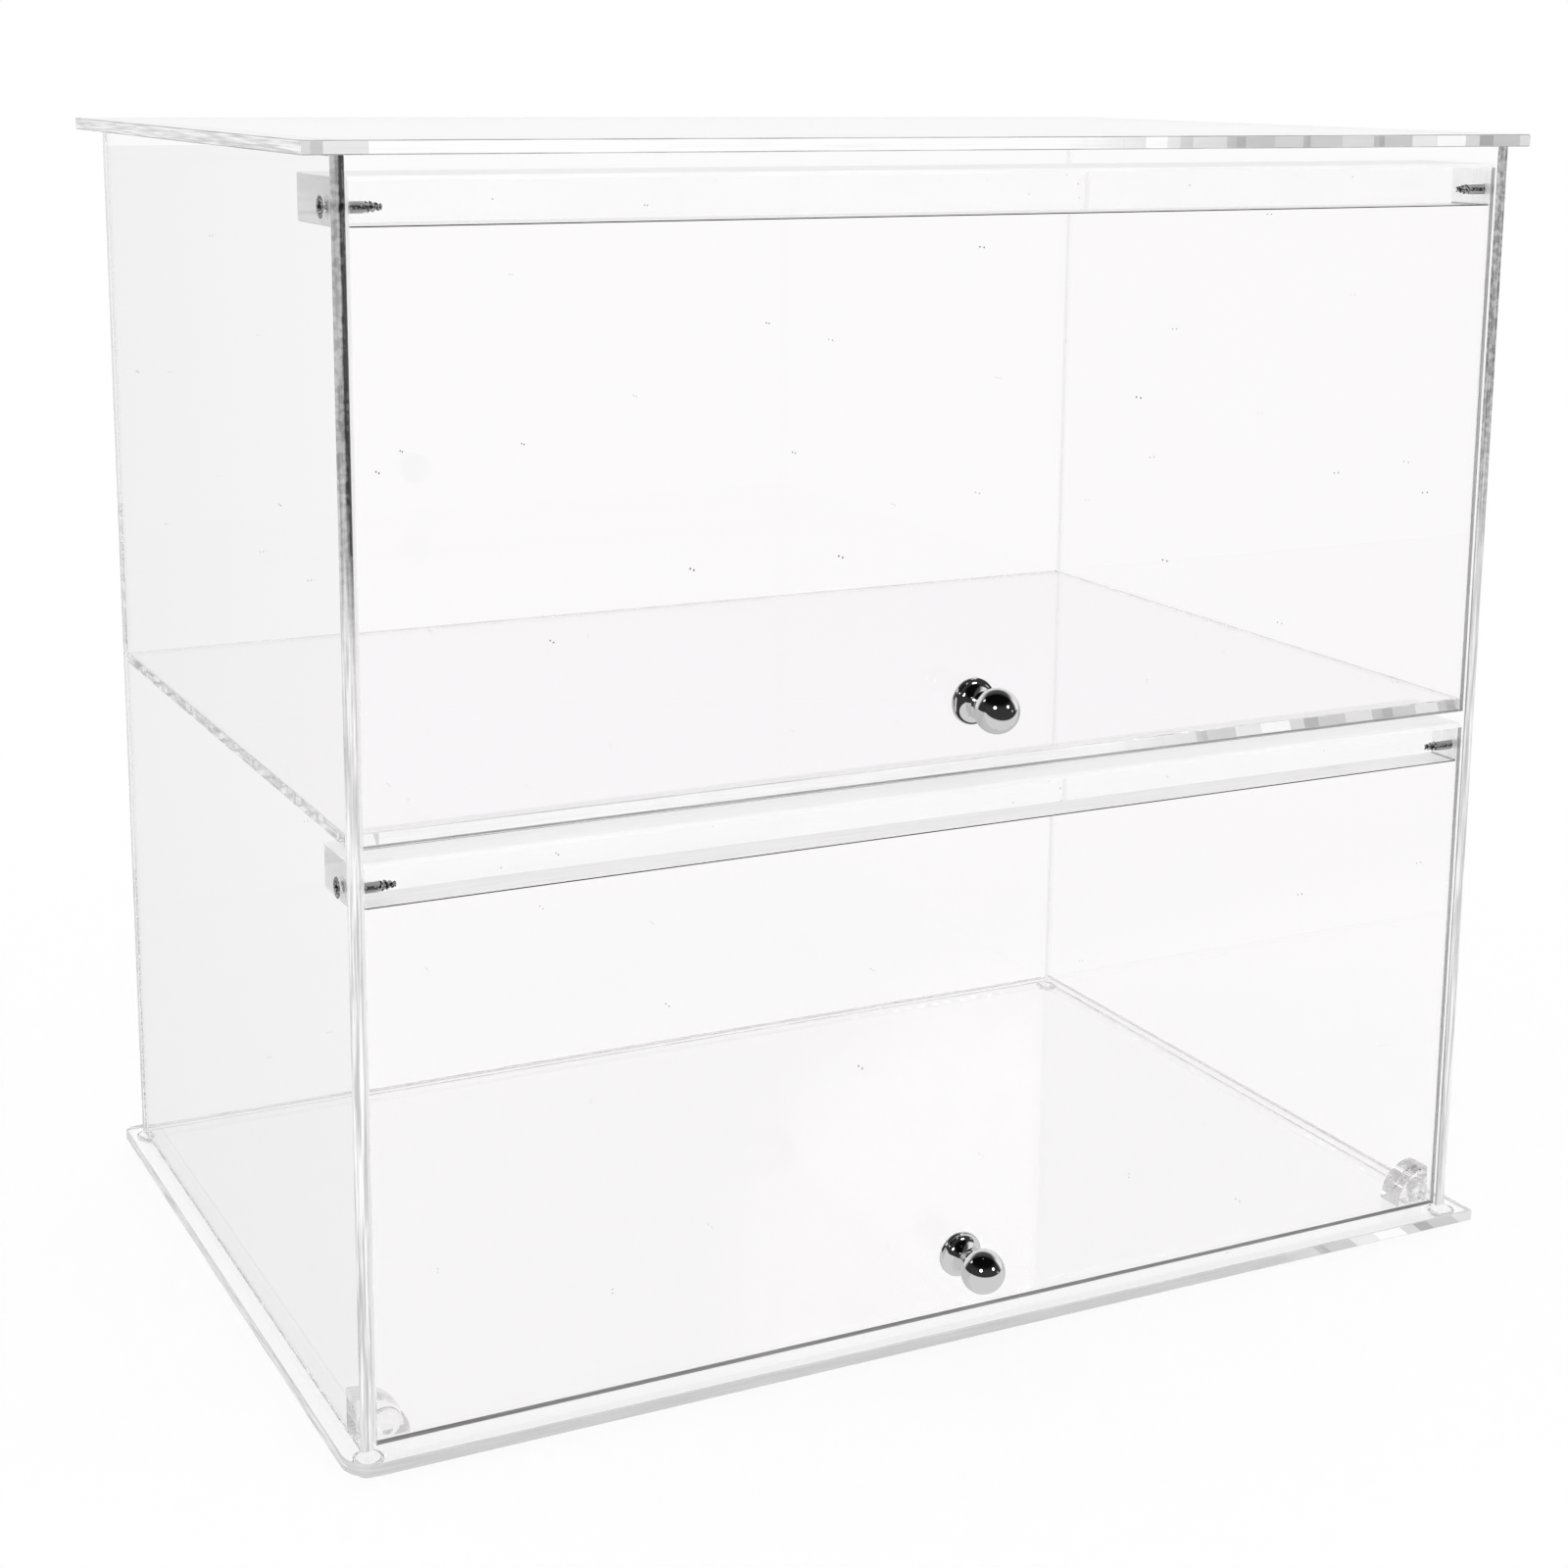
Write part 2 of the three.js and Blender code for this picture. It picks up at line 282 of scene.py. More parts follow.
# %% The lamps' places
LAMPS = {
    "key_lamp": {"towards": (-0.62, -0.68, 0.50), "size": 0.50, "power": 4.5, "spot": 7.0},
    "fill_lamp": {"towards": (0.49, -0.78, 0.44), "size": 0.42, "power": 3.2, "spot": 6.0},
    "side_lamp": {"towards": (0.78, -0.62, 0.05), "size": 0.30, "power": 0.5, "spot": 0.6},
    "rear_lamp": {"towards": (-0.61, 0.50, 0.61), "size": 0.40, "power": 0.8, "spot": 1.2},
}
LAMP_AIM = Vector((0.0, -0.17, 0.26))
LAMP_DISTANCE = 2.2
SPOT_INNER = 0.75
SPOT_OUTER = 1.25
ONE_BOUNCE = 0.5
print("lamps:", ", ".join(f"{name} {lamp['power']} W" for name, lamp in LAMPS.items()))

# %% The world
STUDIO_WHITE = 1.0
CEILING_STARTS = 0.3
CEILING_FULL = 0.6
CEILING_LEVEL = 0.3
FRONT_DARK = 0.04
FRONT_BEHIND_SHEET = 0.6
BACK_LIGHT = 0.95
FRONT_ENDS = 0.2
BACK_STARTS = 0.6
BACK_LEAN = 0.65
UPPER_DARK_STARTS = 0.38
UPPER_DARK_FULL = 0.75
UPPER_DARK = 0.09
UPPER_BEHIND_SHEET = 0.6
AMBIENT = 0.96


def reflections(board, ray):
    """Masks for rays that a mirror threw, and for those that have been through a sheet."""
    mirrored = (board.wire(ray, "Glossy Depth") > ONE_BOUNCE) * (1 - board.wire(ray, "Is Diffuse Ray"))
    return mirrored, board.wire(ray, "Transmission Depth") > ONE_BOUNCE


def lamp_spot(board, direction, lamp):
    """The bright spot that one lamp makes in a mirror."""
    half = math.atan(lamp["size"] / 2 / LAMP_DISTANCE)
    towards = tuple(Vector(lamp["towards"]).normalized())
    closeness = board.vector("DOT_PRODUCT", direction, towards, output="Value")
    return closeness.ramp(math.cos(half * SPOT_OUTER), math.cos(half * SPOT_INNER), 0.0, lamp["spot"])


def make_world():
    world = bpy.data.worlds.new("studio")
    bpy.context.scene.world = world
    world.cycles.sampling_method = "NONE"
    board = empty_board(world)
    direction = board.wire(board.node("TexCoord"), "Generated")
    across, depth, height = board.split(direction)
    ray = board.node("LightPath")
    camera = board.wire(ray, "Is Camera Ray")
    matt = board.wire(ray, "Is Diffuse Ray")
    mirrored, behind_sheet = reflections(board, ray)
    through = board.wire(ray, "Is Transmission Ray") * (1 - mirrored)
    seen_through = height.ramp(CEILING_STARTS, CEILING_FULL, STUDIO_WHITE, CEILING_LEVEL)
    front = behind_sheet.between(FRONT_DARK, FRONT_BEHIND_SHEET)
    upper = behind_sheet.between(UPPER_DARK, UPPER_BEHIND_SHEET)
    sides = (depth + across * BACK_LEAN).ramp(FRONT_ENDS, BACK_STARTS, front, BACK_LIGHT)
    reflected = sides * height.ramp(UPPER_DARK_STARTS, UPPER_DARK_FULL, 1.0, upper)
    for lamp in LAMPS.values():
        reflected = reflected + lamp_spot(board, direction, lamp)
    level = camera * STUDIO_WHITE + mirrored * reflected + through * seen_through + matt * AMBIENT
    light = board.node("Background", None, {"Color": grey(1.0), "Strength": level})
    board.node("OutputWorld", None, {"Surface": board.wire(light)})


make_world()
print("world made, lighting matt surfaces at", AMBIENT)

# %% [markdown]
# ## Lamps
# The four lamps themselves are soft, weak and far away, so that they shape the matt surfaces a little
# and hardly change the plain light of the world. Mirrors don't see them, because the world has
# already drawn their spots.

# %% Lamps
def make_lamp(name, towards, size, power):
    lamp = bpy.data.lights.new(name, "AREA")
    lamp.size = size
    lamp.energy = power
    holder = put_in_scene(name, lamp)
    holder.location = LAMP_AIM + LAMP_DISTANCE * Vector(towards).normalized()
    holder.rotation_mode = "QUATERNION"
    holder.rotation_quaternion = (-Vector(towards)).to_track_quat("-Z", "Y")
    holder.visible_glossy = False
    holder.visible_transmission = False
    return holder


for name, lamp in LAMPS.items():
    holder = make_lamp(name, lamp["towards"], lamp["size"], lamp["power"])
    print(f"{name} at", [round(v, 2) for v in holder.location])

# %% [markdown]
# ## The floor
# The case stands on a white table that runs out into the white backdrop. A matt white floor would
# turn grey far away, where the light falls off, so the floor glows more and more with distance, up
# to exactly the white of the world. Near the case most of its light is real, and it keeps the shadow.
# In a mirror the table has an end: the chromed balls show the dark room begin a little in front of
# the case, so for reflections the floor is dark from there on, unless a sheet lies between.

# %% The floor
FLOOR_SIZE = 30.0
FLOOR_DROP = 0.2 * MM
FLOOR_GLOW = 0.65
FLOOR_COLOUR = 0.98
FLOOR_NEAR = 0.35
FLOOR_FAR = 0.95
TABLE_END = -0.5
TABLE_FADE = 0.12
TABLE_MIRRORED = 0.7
TABLE_BEHIND_SHEET = 0.9


def make_floor():
    half = FLOOR_SIZE / 2
    corners = [(x * half, y * half, -FLOOR_DROP) for x, y in CORNER_SIGNS]
    mesh = mesh_of("floor", corners, [(0, 1, 2, 3)])
    floor = put_in_scene("floor", mesh)
    material, board = new_material("white_table")
    matt = board.wire(board.node("BsdfDiffuse", None, {"Color": grey(FLOOR_COLOUR)}))
    place = board.place()
    share = board.length(place).ramp(FLOOR_NEAR, FLOOR_FAR, FLOOR_GLOW, 1.0)
    white = board.blend(share, matt, board.glow(STUDIO_WHITE))
    mirrored, behind_sheet = reflections(board, board.node("LightPath"))
    level = behind_sheet.between(TABLE_MIRRORED, TABLE_BEHIND_SHEET)
    beyond = (TABLE_END - board.split(place)[Y]).ramp(0.0, TABLE_FADE) * (1 - behind_sheet)
    reflection = board.blend(beyond, board.glow(level), board.glow(FRONT_DARK))
    board.show(board.blend(mirrored, white, reflection))
    mesh.materials.append(material)


make_floor()
print("floor", FLOOR_SIZE, "m across")

# %% [markdown]
# ## Where the plastic is cemented
# Solvent cement melts two pieces together, so light crosses a good joint as if nothing were there.
# In the model both pieces still have a face there, a hair apart or touching, which would mirror like
# a gap. The joints are found from the boxes of the nodes: where two boxes touch in a flat rectangle,
# there is a joint. The materials then make both faces invisible inside that rectangle.

# %% Where the plastic is cemented
TOUCHING = 0.03 * MM
JOINT_DEPTH = 0.04 * MM
EDGE_BREAK = 0.4 * MM
PLASTIC = [name for name, slot in SLOT_OF.items() if slot in ("acrylic", "bumper")]


def joints_between(first, second):
    """The flat rectangle or disc in which two nodes touch: centre, half size, its flat axis, is it round."""
    (low_a, high_a), (low_b, high_b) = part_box(first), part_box(second)
    low = Vector(map(max, low_a, low_b))
    high = Vector(map(min, high_a, high_b))
    size = high - low
    flat = [axis for axis in (X, Y, Z) if abs(size[axis]) < TOUCHING]
    wide = [axis for axis in (X, Y, Z) if size[axis] > MM]
    if len(flat) != 1 or len(wide) != 2:
        return []
    is_round = "bumper" in (SLOT_OF[first], SLOT_OF[second])
    half = size / 2 - Vector((0 if is_round else EDGE_BREAK,) * 3)
    half[flat[0]] = JOINT_DEPTH
    return [{"centre": (low + high) / 2, "half": half, "axis": flat[0], "round": is_round}]


JOINTS = {name: [] for name in PLASTIC}
for i, first in enumerate(PLASTIC):
    for second in PLASTIC[i + 1:]:
        for joint in joints_between(first, second):
            JOINTS[first].append(joint)
            JOINTS[second].append(joint)
print("joints:", {name: len(found) for name, found in JOINTS.items()})

# %% [markdown]
# ## Clear acrylic
# A sheet is a closed solid, so the shader is real refraction with the index of acrylic, 1.49. On the
# real case only the wide faces are that clear. The sawn and polished edges keep fine lines along
# their length and a little haze, and in the photograph they read as bands, some nearly white, some
# grey and some nearly black. So the narrow faces mix in a matt finish whose tone runs in streaks.
# Its tone is partly that haze and partly painted reflection: the grey and black bands are painted
# in for what the edges reflect and bend of the dark room and the white backdrop. The normal in
# object space tells which way a face looks, which works for every sheet and every view.
# Rays from lamps and to matt surfaces pass straight through, because refracted light would need far
# too many samples to reach the floor. So does what a chromed knob mirrors: a clear sheet hardly shows
# in it. Straight on, a sheet mirrors a little less than acrylic does, because the backdrop of the
# photograph is exposed past white, and two sheets in front of it still read as white.

# %% Measures of the sheets
ACRYLIC_IOR = 1.49
GLARE = 0.5
SHADE = 0.965
DUST_SPACING = 65 * MM
DUST_LEAST = 0.22 * MM
DUST_MOST = 0.42 * MM
DUST_SHARE = 0.4
DUST_GREY = 0.3
NO_HAZE = 0.01


def clear_axis(node):
    """The axis along which one looks through: a sheet's thinnest, a bar's or block's depth."""
    low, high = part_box(node)
    if "bar" in node or "block" in node:
        return Y
    return min((X, Y, Z), key=lambda axis: (high - low)[axis])


def inside(board, place, joint):
    """1 in the rectangle or disc of one joint, 0 elsewhere."""
    offset = board.vector("SUBTRACT", place, tuple(joint["centre"]))
    if joint["round"]:
        depth = abs(board.split(offset)[joint["axis"]])
        return (board.length(offset) < max(joint["half"])) * (depth < JOINT_DEPTH)
    past = board.vector("SUBTRACT", board.vector("ABSOLUTE", offset), tuple(joint["half"]))
    x, y, z = board.split(past)
    return x.at_least(y).at_least(z) < 0.0


def any_of(masks):
    found = masks[0]
    for mask in masks[1:]:
        found = found.at_least(mask)
    return found


def dust(board, place, axis):
    """Sparse tiny specks on the wide faces, no two quite alike."""
    wide = [wire for i, wire in enumerate(board.split(place)) if i != axis]
    flat = board.joined(wide[0], wide[1], 0.0)
    settings = {"voronoi_dimensions": "2D"}
    cells = board.node("TexVoronoi", settings, {"Vector": flat, "Scale": 1 / DUST_SPACING})
    chance, size, _ = board.split(board.wire(cells, "Color"))
    radius = size.ramp(0.0, 1.0, DUST_LEAST / DUST_SPACING, DUST_MOST / DUST_SPACING)
    return (board.wire(cells, "Distance") < radius) * (chance < DUST_SHARE)


def seen_through(board, body):
    """Light, and what a mirror outside the case shows, passes straight through the body."""
    ray = board.node("LightPath")
    light = board.wire(ray, "Is Shadow Ray").at_least(board.wire(ray, "Is Diffuse Ray"))
    outside = board.wire(ray, "Transmission Depth") < ONE_BOUNCE
    mirrored = board.wire(ray, "Is Glossy Ray") * outside
    return board.blend(light.at_least(mirrored), body, board.nothing(SHADE))


print("clear axis of each plastic piece:", {name: "XYZ"[clear_axis(name)] for name in PLASTIC})

# %% [markdown]
# The tone of an edge is painted reflection over its real haze: it stands for what each edge reflects
# and bends of the dark room and the white backdrop, and so it differs from piece to piece. The base
# plate's is light and even, the top plate's and the shelf's nearly white with grey blocks towards
# the right, the left panel's front edge nearly black above the shelf and light below it, the right
# one's mottled. The doors and the hinge bars are polished all round, so that only their lower bevels
# draw a painted line, apart from the lower door's painted dark bottom. A small table holds this: for
# each way that a face looks, the darkest and the lightest streak and the share of haze. Blocks have a
# place where they start, one where they are full, their darkest and lightest tone and a slant. A
# panel's upper part has tones of its own.

# %% Tones of the edges
# Painted reflection: each tone is a dark and a light streak and a share of real haze.
PLAIN = ((0.55, 0.85), 0.6)
CLEAR = ((0.85, 0.95), 0.12)
LINE = ((0.22, 0.36), 0.9)
PALE = ((0.7, 0.9), 0.35)
WHITISH = ((0.95, 1.0), 0.85)
DARK_LINE = ((0.2, 0.42), 0.85)
# Painted reflection: the doors' dark right edges and dark lower bevels.
DOOR = {"left": WHITISH, "right": DARK_LINE, "top": WHITISH, "under": CLEAR, "upright": PALE,
        "upward": WHITISH, "downward": LINE}
# Painted reflection over real haze, for each piece: its edge bands, the top plate's and shelf's blocks, the
# panels' dark upper parts, the lower door's dark bottom and the bars' grey ends.
EDGE_HAZE_AND_PAINTED_REFLECTIONS = {
    "base_plate": {"tint": 0.99, "front": ((0.53, 0.6), 0.94), "left": ((0.5, 0.98), 0.75), "rear": PLAIN,
                   "right": PLAIN, "upright": ((0.57, 0.65), 0.9), "upward": ((0.6, 0.75), 0.7),
                   "downward": ((0.5, 0.62), 0.9), "blocks": (0.13, 0.2, 0.56, 0.95, 1.2)},
    "top_plate": {"tint": 0.96, "front": ((0.93, 1.0), 0.9), "left": ((0.55, 1.0), 0.8), "rear": PLAIN,
                  "right": PLAIN, "upright": PLAIN, "upward": ((0.3, 0.6), 0.8),
                  "downward": ((0.25, 0.6), 0.8), "blocks": (0.02, 0.13, 0.52, 0.93, 0.0)},
    "shelf": {"tint": 0.99, "front": ((0.93, 1.0), 0.85), "upward": PALE, "downward": PALE,
              "blocks": (0.06, 0.13, 0.58, 1.0, 0.3)},
    "side_panel_left": {"front": ((0.5, 0.98), 0.92), "upright": ((0.5, 0.8), 0.8),
                        "rear": PLAIN, "upper": (0.16, 0.5)},
    "side_panel_right": {"front": ((0.48, 0.88), 0.92), "upright": ((0.25, 0.5), 0.9),
                         "rear": WHITISH, "rear_upright": WHITISH, "upper": (0.1, 0.55)},
    "back_panel": {"left": PLAIN, "right": WHITISH, "top": PLAIN, "under": PLAIN,
                   "upright": WHITISH},
    "lower_door": {**DOOR, "under": ((0.08, 0.18), 0.95), "downward": ((0.15, 0.28), 0.95)},
    "upper_door": DOOR,
    "bar": {"left": ((0.6, 0.64), 0.6), "right": ((0.9, 1.0), 0.6), "top": WHITISH,
            "upward": WHITISH, "under": ((0.85, 1.0), 0.6), "rear": ((0.9, 1.0), 0.1), "downward": LINE},
    "block": {"tint": 0.96, "left": PLAIN, "right": PLAIN, "top": ((0.25, 0.8), 0.45), "upright": PLAIN},
}
SQUARE_ON = 0.92
SLANTING = 0.3
# Painted reflection blocks along the front edges of the plates and the shelf.
LEFT_BLOCK = -0.237
BLOCK_LENGTH = 18 * MM
BLOCK_END = 0.44
BLOCK_END_SHADE = 0.3
BLOCK_SPAN = (0.1, 0.8)
# Painted reflection: the heights where a panel's darker upper tones start and are full.
UPPER_STARTS = 0.27
UPPER_FULL = 0.38
LINE_WIDTH = 0.8 * MM
LINE_LENGTH = 28 * MM
# Painted reflection: the mottle of those upper tones, and a darker stripe on the inner part of the left
# panel's front edge.
MOTTLE = 2.5 * MM
MOTTLE_SHARE = 0.45
MOTTLE_SPAN = (0.4, 0.6)
INNER_STRIPE = (-0.2475, -0.2465)
INNER_DARK = 1.2
FILM_LINE = 0.8 * MM
FILM_LENGTH = 14 * MM
FILM_STARTS = 0.42
FILM_ENDS = 0.68
FILM_TONES = (0.3, 0.85)
FILM_SHARE = 0.75
EDGE_ROUGHNESS = 0.35
LILAC = (1.0, 0.993, 0.998)


def edges_of(node):
    """A piece's row of the table. Upright bevels at its rear are like those in front, or have their own."""
    look = dict(EDGE_HAZE_AND_PAINTED_REFLECTIONS.get(node) or next(look for kind, look in EDGE_HAZE_AND_PAINTED_REFLECTIONS.items() if kind in node))
    if "upright" in look:
        look.setdefault("rear_upright", look["upright"])
    return look


def ways(board, place, normal, node):
    """A mask for each way that a face can look, and for bevels that slant up or down or stand upright.

    A ray that meets a face from inside the plastic finds its normal turned round, so the sign comes
    from where the face lies, seen from the middle of the piece."""
    low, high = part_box(node)
    sides = [(wire > (low[i] + high[i]) / 2) * 2 - 1 for i, wire in enumerate(board.split(place))]
    x, y, z = [abs(wire) * side for wire, side in zip(board.split(normal), sides)]
    found = {"left": x < -SQUARE_ON, "right": x > SQUARE_ON, "front": y < -SQUARE_ON, "rear": y > SQUARE_ON}
    found["under"] = z < -SQUARE_ON
    found["top"] = z > SQUARE_ON
    bevel = abs(x).at_least(abs(y)).at_least(abs(z)) < SQUARE_ON
    found["upward"] = bevel * (z > SLANTING)
    found["downward"] = bevel * (z < -SLANTING)
    upright = bevel * (abs(z) < SLANTING)
    found["upright"] = upright * (y < 0.0)
    found["rear_upright"] = upright * (y > 0.0)
    return found


def streaks(board, place, axis, line, length):
    """0 to 1 in fine lines that run along an edge, across which the sheet is thin."""
    grains = [length] * 3
    grains[axis] = line
    return board.noise(place, grains, detail=3.0).ramp(*NOISE_SPAN)


def with_painted_reflection_blocks(board, place, tone, blocks):
    """Painted reflection: blocks of random tone along an edge, each darker at its ends, from a certain place
    on.
    """
    start, full, dark, light, slant = blocks
    along = board.split(place)[X]
    slanted = along + board.split(place)[Z] * slant
    sockets = {"W": slanted / BLOCK_LENGTH, "Scale": 1.0}
    cells = board.node("TexVoronoi", {"voronoi_dimensions": "1D"}, sockets)
    chance = board.split(board.wire(cells, "Color"))[0]
    block = chance.ramp(*BLOCK_SPAN, light, dark)
    ends = board.wire(cells, "Distance") > BLOCK_END
    block = block - ends * block * BLOCK_END_SHADE
    share = along.ramp(start, full)
    if slant < 1:
        share = share.at_least(along < LEFT_BLOCK)
    return tone + share * (block - tone)


def edge_haze_and_painted_reflection(board, place, normal, node, axis):
    """How light the matt part of each face is, a painted reflection over the real haze, and how large a share
    it takes.
    """
    look = edges_of(node)
    fine = streaks(board, place, axis, LINE_WIDTH, LINE_LENGTH)
    height = board.split(place)[Z]
    tone = fine * 0.0
    haze = fine * 0.0
    for way, mask in ways(board, place, normal, node).items():
        if way not in look:
            continue
        (dark, light), share = look[way]
        here = fine.between(dark, light)
        if way == "front" and "blocks" in look:
            here = with_painted_reflection_blocks(board, place, here, look["blocks"])
        # Painted reflection: a panel's front edge and upright bevel take darker, mottled tones from the shelf
        # up, for the dark room that they reflect.
        if way in ("front", "upright") and "upper" in look:
            dark, light = look["upper"]
            mottled = board.noise(place, [MOTTLE] * 3, detail=4.0).ramp(*MOTTLE_SPAN)
            mottled = fine * (1 - MOTTLE_SHARE) + mottled * MOTTLE_SHARE
            # Painted reflection: darker along the inner part of the left panel's front edge.
            if node == "side_panel_left":
                mottled = mottled - board.split(place)[X].ramp(*INNER_STRIPE) * INNER_DARK
            here = here + height.ramp(UPPER_STARTS, UPPER_FULL) * (mottled.between(dark, light) - here)
        tone = tone + mask * here
        haze = haze + mask * share
    return tone, haze


# %% Clear acrylic
def clear_sheet(node):
    material, board = new_material("clear_" + node)
    coordinates = board.node("TexCoord")
    place = board.wire(coordinates, "Object")
    axis = clear_axis(node)
    tint = edges_of(node).get("tint", 1.0)
    tone, haze = edge_haze_and_painted_reflection(board, place, board.wire(coordinates, "Normal"), node, axis)
    glass = board.finish({
        "Base Color": (*(tint * share for share in LILAC), 1.0),
        "Roughness": 0.0,
        "IOR": ACRYLIC_IOR,
        "Specular Tint": grey(GLARE),
        "Transmission Weight": 1.0,
    })
    specks = dust(board, place, axis) * (haze < NO_HAZE)
    # The matt part carries the painted edge tone, painted reflection over real haze, and the dust specks.
    matt = board.finish({
        "Base Color": board.tinted(tone.at_least(specks * DUST_GREY)),
        "Roughness": EDGE_ROUGHNESS,
        "IOR": ACRYLIC_IOR,
    })
    body = board.blend(haze.at_least(specks), glass, matt)
    if JOINTS[node]:
        body = with_joints(board, body, place, node, axis)
    board.show(seen_through(board, body))
    return material


def with_joints(board, body, place, node, axis):
    """Makes the joints invisible, but for streaks of cement along this piece's own lying edges."""
    joint = any_of([inside(board, place, joint) for joint in JOINTS[node]])
    bond = board.nothing()
    lying = [joint for joint in JOINTS[node] if max(joint["half"]) > joint["half"][Z]]
    own = [joint for joint in lying if joint["axis"] != axis and not joint["round"]]
    if own:
        lines = streaks(board, place, axis, FILM_LINE, FILM_LENGTH)
        dark, light = FILM_TONES
        film = board.finish({
            "Base Color": board.tinted(lines.between(dark, light)),
            "Roughness": EDGE_ROUGHNESS,
        })
        spots = board.noise(place, [FILM_LENGTH] * 3, detail=4.0).ramp(FILM_STARTS, FILM_ENDS)
        here = any_of([inside(board, place, joint) for joint in own])
        bond = board.blend(here * spots * FILM_SHARE, bond, film)
    return board.blend(joint, body, bond)


for name in PLASTIC:
    if SLOT_OF[name] == "acrylic":
        NODES[name].data.materials.clear()
        NODES[name].data.materials.append(clear_sheet(name))
print("clear sheets:", sum(SLOT_OF[name] == "acrylic" for name in PLASTIC))

# %% [markdown]
# ## Soft bumpers
# The feet and the two door stops are clear domes of soft plastic, a little milky, stuck on with
# their flat backs. The same refraction does for them, with a touch of haze that follows a faint
# cloudiness. Their glued backs are joints like the cemented ones.

# %% The bumpers' material
BUMPERS = [name for name in PLASTIC if SLOT_OF[name] == "bumper"]
BUMPER_HAZE = 0.16
BUMPER_TONES = (0.75, 0.9)
BUMPER_TINT = 0.97
CLOUD_GRAIN = 3 * MM
CLOUD_SPAN = (0.2, 0.8)
MILK_ROUGHNESS = 0.3


def soft_clear():
    material, board = new_material("soft_clear_bumper")
    place = board.place()
    cloud = board.noise(place, [CLOUD_GRAIN] * 3, detail=3.0)
    dark, light = BUMPER_TONES
    milk = board.finish({
        "Base Color": board.tinted(cloud.ramp(*NOISE_SPAN, dark, light)),
        "Roughness": MILK_ROUGHNESS,
    })
    glass = board.finish({
        "Base Color": grey(BUMPER_TINT),
        "Roughness": 0.0,
        "IOR": ACRYLIC_IOR,
        "Transmission Weight": 1.0,
    })
    haze = cloud.ramp(*CLOUD_SPAN, BUMPER_HAZE / 2, BUMPER_HAZE)
    body = board.blend(haze, glass, milk)
    backs = [inside(board, place, joint) for name in BUMPERS for joint in JOINTS[name]]
    body = board.blend(any_of(backs), body, board.nothing())
    board.show(seen_through(board, body))
    return material


SOFT_CLEAR = soft_clear()
print("bumper haze", BUMPER_HAZE)

# %% [markdown]
# ## Metals
# The knobs are polished and chromed: a mirror, with the faintest unevenness of the polish under the
# plating. The screws are zinc-plated steel, darker and rougher, with stains in their threads.

# %% Metals
CHROME = (0.86, 0.86, 0.87)
CHROME_ROUGHNESS = (0.015, 0.05)
CHROME_GRAIN = 1.5 * MM
CHROME_WAVE = 0.004 * MM
STEEL_DARK = (0.04, 0.04, 0.042)
STEEL_LIGHT = (0.6, 0.6, 0.61)
STEEL_ROUGHNESS = (0.12, 0.35)
STEEL_GRAIN = 0.9 * MM
STAIN_SPAN = (0.47, 0.62)


def chromed():
    material, board = new_material("polished_chrome")
    place = board.place()
    waves = board.noise(place, [CHROME_GRAIN] * 3, detail=2.0)
    bump = board.node("Bump", None, {"Height": waves, "Distance": CHROME_WAVE, "Strength": 1.0})
    metal = board.finish({
        "Base Color": (*CHROME, 1.0),
        "Metallic": 1.0,
        "Roughness": waves.ramp(*NOISE_SPAN, *CHROME_ROUGHNESS),
        "Normal": board.wire(bump),
    })
    board.show(metal)
    return material


def plated_steel():
    material, board = new_material("zinc_plated_steel")
    place = board.place()
    stains = board.noise(place, [STEEL_GRAIN] * 3, detail=4.0)
    metal = board.finish({
        "Base Color": board.tinted(stains.ramp(*STAIN_SPAN), (*STEEL_DARK, 1.0), (*STEEL_LIGHT, 1.0)),
        "Metallic": 1.0,
        "Roughness": stains.ramp(*NOISE_SPAN, *STEEL_ROUGHNESS),
    })
    board.show(metal)
    return material


POLISHED_CHROME = chromed()
PLATED_STEEL = plated_steel()
print("metals made")

# %% [markdown]
# ## Turned forms by Geometry Nodes
# Knobs, screws and domes are all turned: one outline spun round an axis. The CAD solids are spun in
# few facets, which is right for collision but shows in a mirror. One Geometry Nodes tree spins them
# finely. It lays a grid down, moves each of its points to the outline's point of that row, turned by
# that column's angle, and adds what a lathe alone can't: a thread, as a wave that climbs by one pitch
# in a turn, and a cross recess pressed into the head. Then it sets a copy on every place where such
# a piece sits. The outline and the places come in as simple meshes of points.

# %% The tree that spins an outline
MERGE_GAP = 0.001 * MM
THREAD_FADE = 0.6 * MM
VALLEY_SPAN = (0.1, 0.75)
CROSS_WALL = (-0.1 * MM, 0.1 * MM)
CROSS_END = (-0.1 * MM, 0.6 * MM)


def geometry_tree(name, inputs):
    """A tree with named inputs, each with its kind and default: its board, and a wire for each."""
    tree = bpy.data.node_groups.new(name, "GeometryNodeTree")
    for title, (kind, default) in inputs.items():
        socket = tree.interface.new_socket(name=title, in_out="INPUT", socket_type="NodeSocket" + kind)
        if default is not None:
            socket.default_value = default
    tree.interface.new_socket(name="Geometry", in_out="OUTPUT", socket_type="NodeSocketGeometry")
    board = Board(tree)
    given = board.node("NodeGroupInput")
    return board, {title: board.wire(given, title) for title in inputs}


def finish_tree(board, copies, material):
    """Makes real geometry of the copies, gives it its material and ends the tree."""
    real = board.node("GeometryNodeRealizeInstances", None, {"Geometry": board.wire(copies)})
    sockets = {"Geometry": board.wire(real), "Material": material}
    painted = board.node("GeometryNodeSetMaterial", None, sockets)
    board.node("NodeGroupOutput", None, {"Geometry": board.wire(painted)})


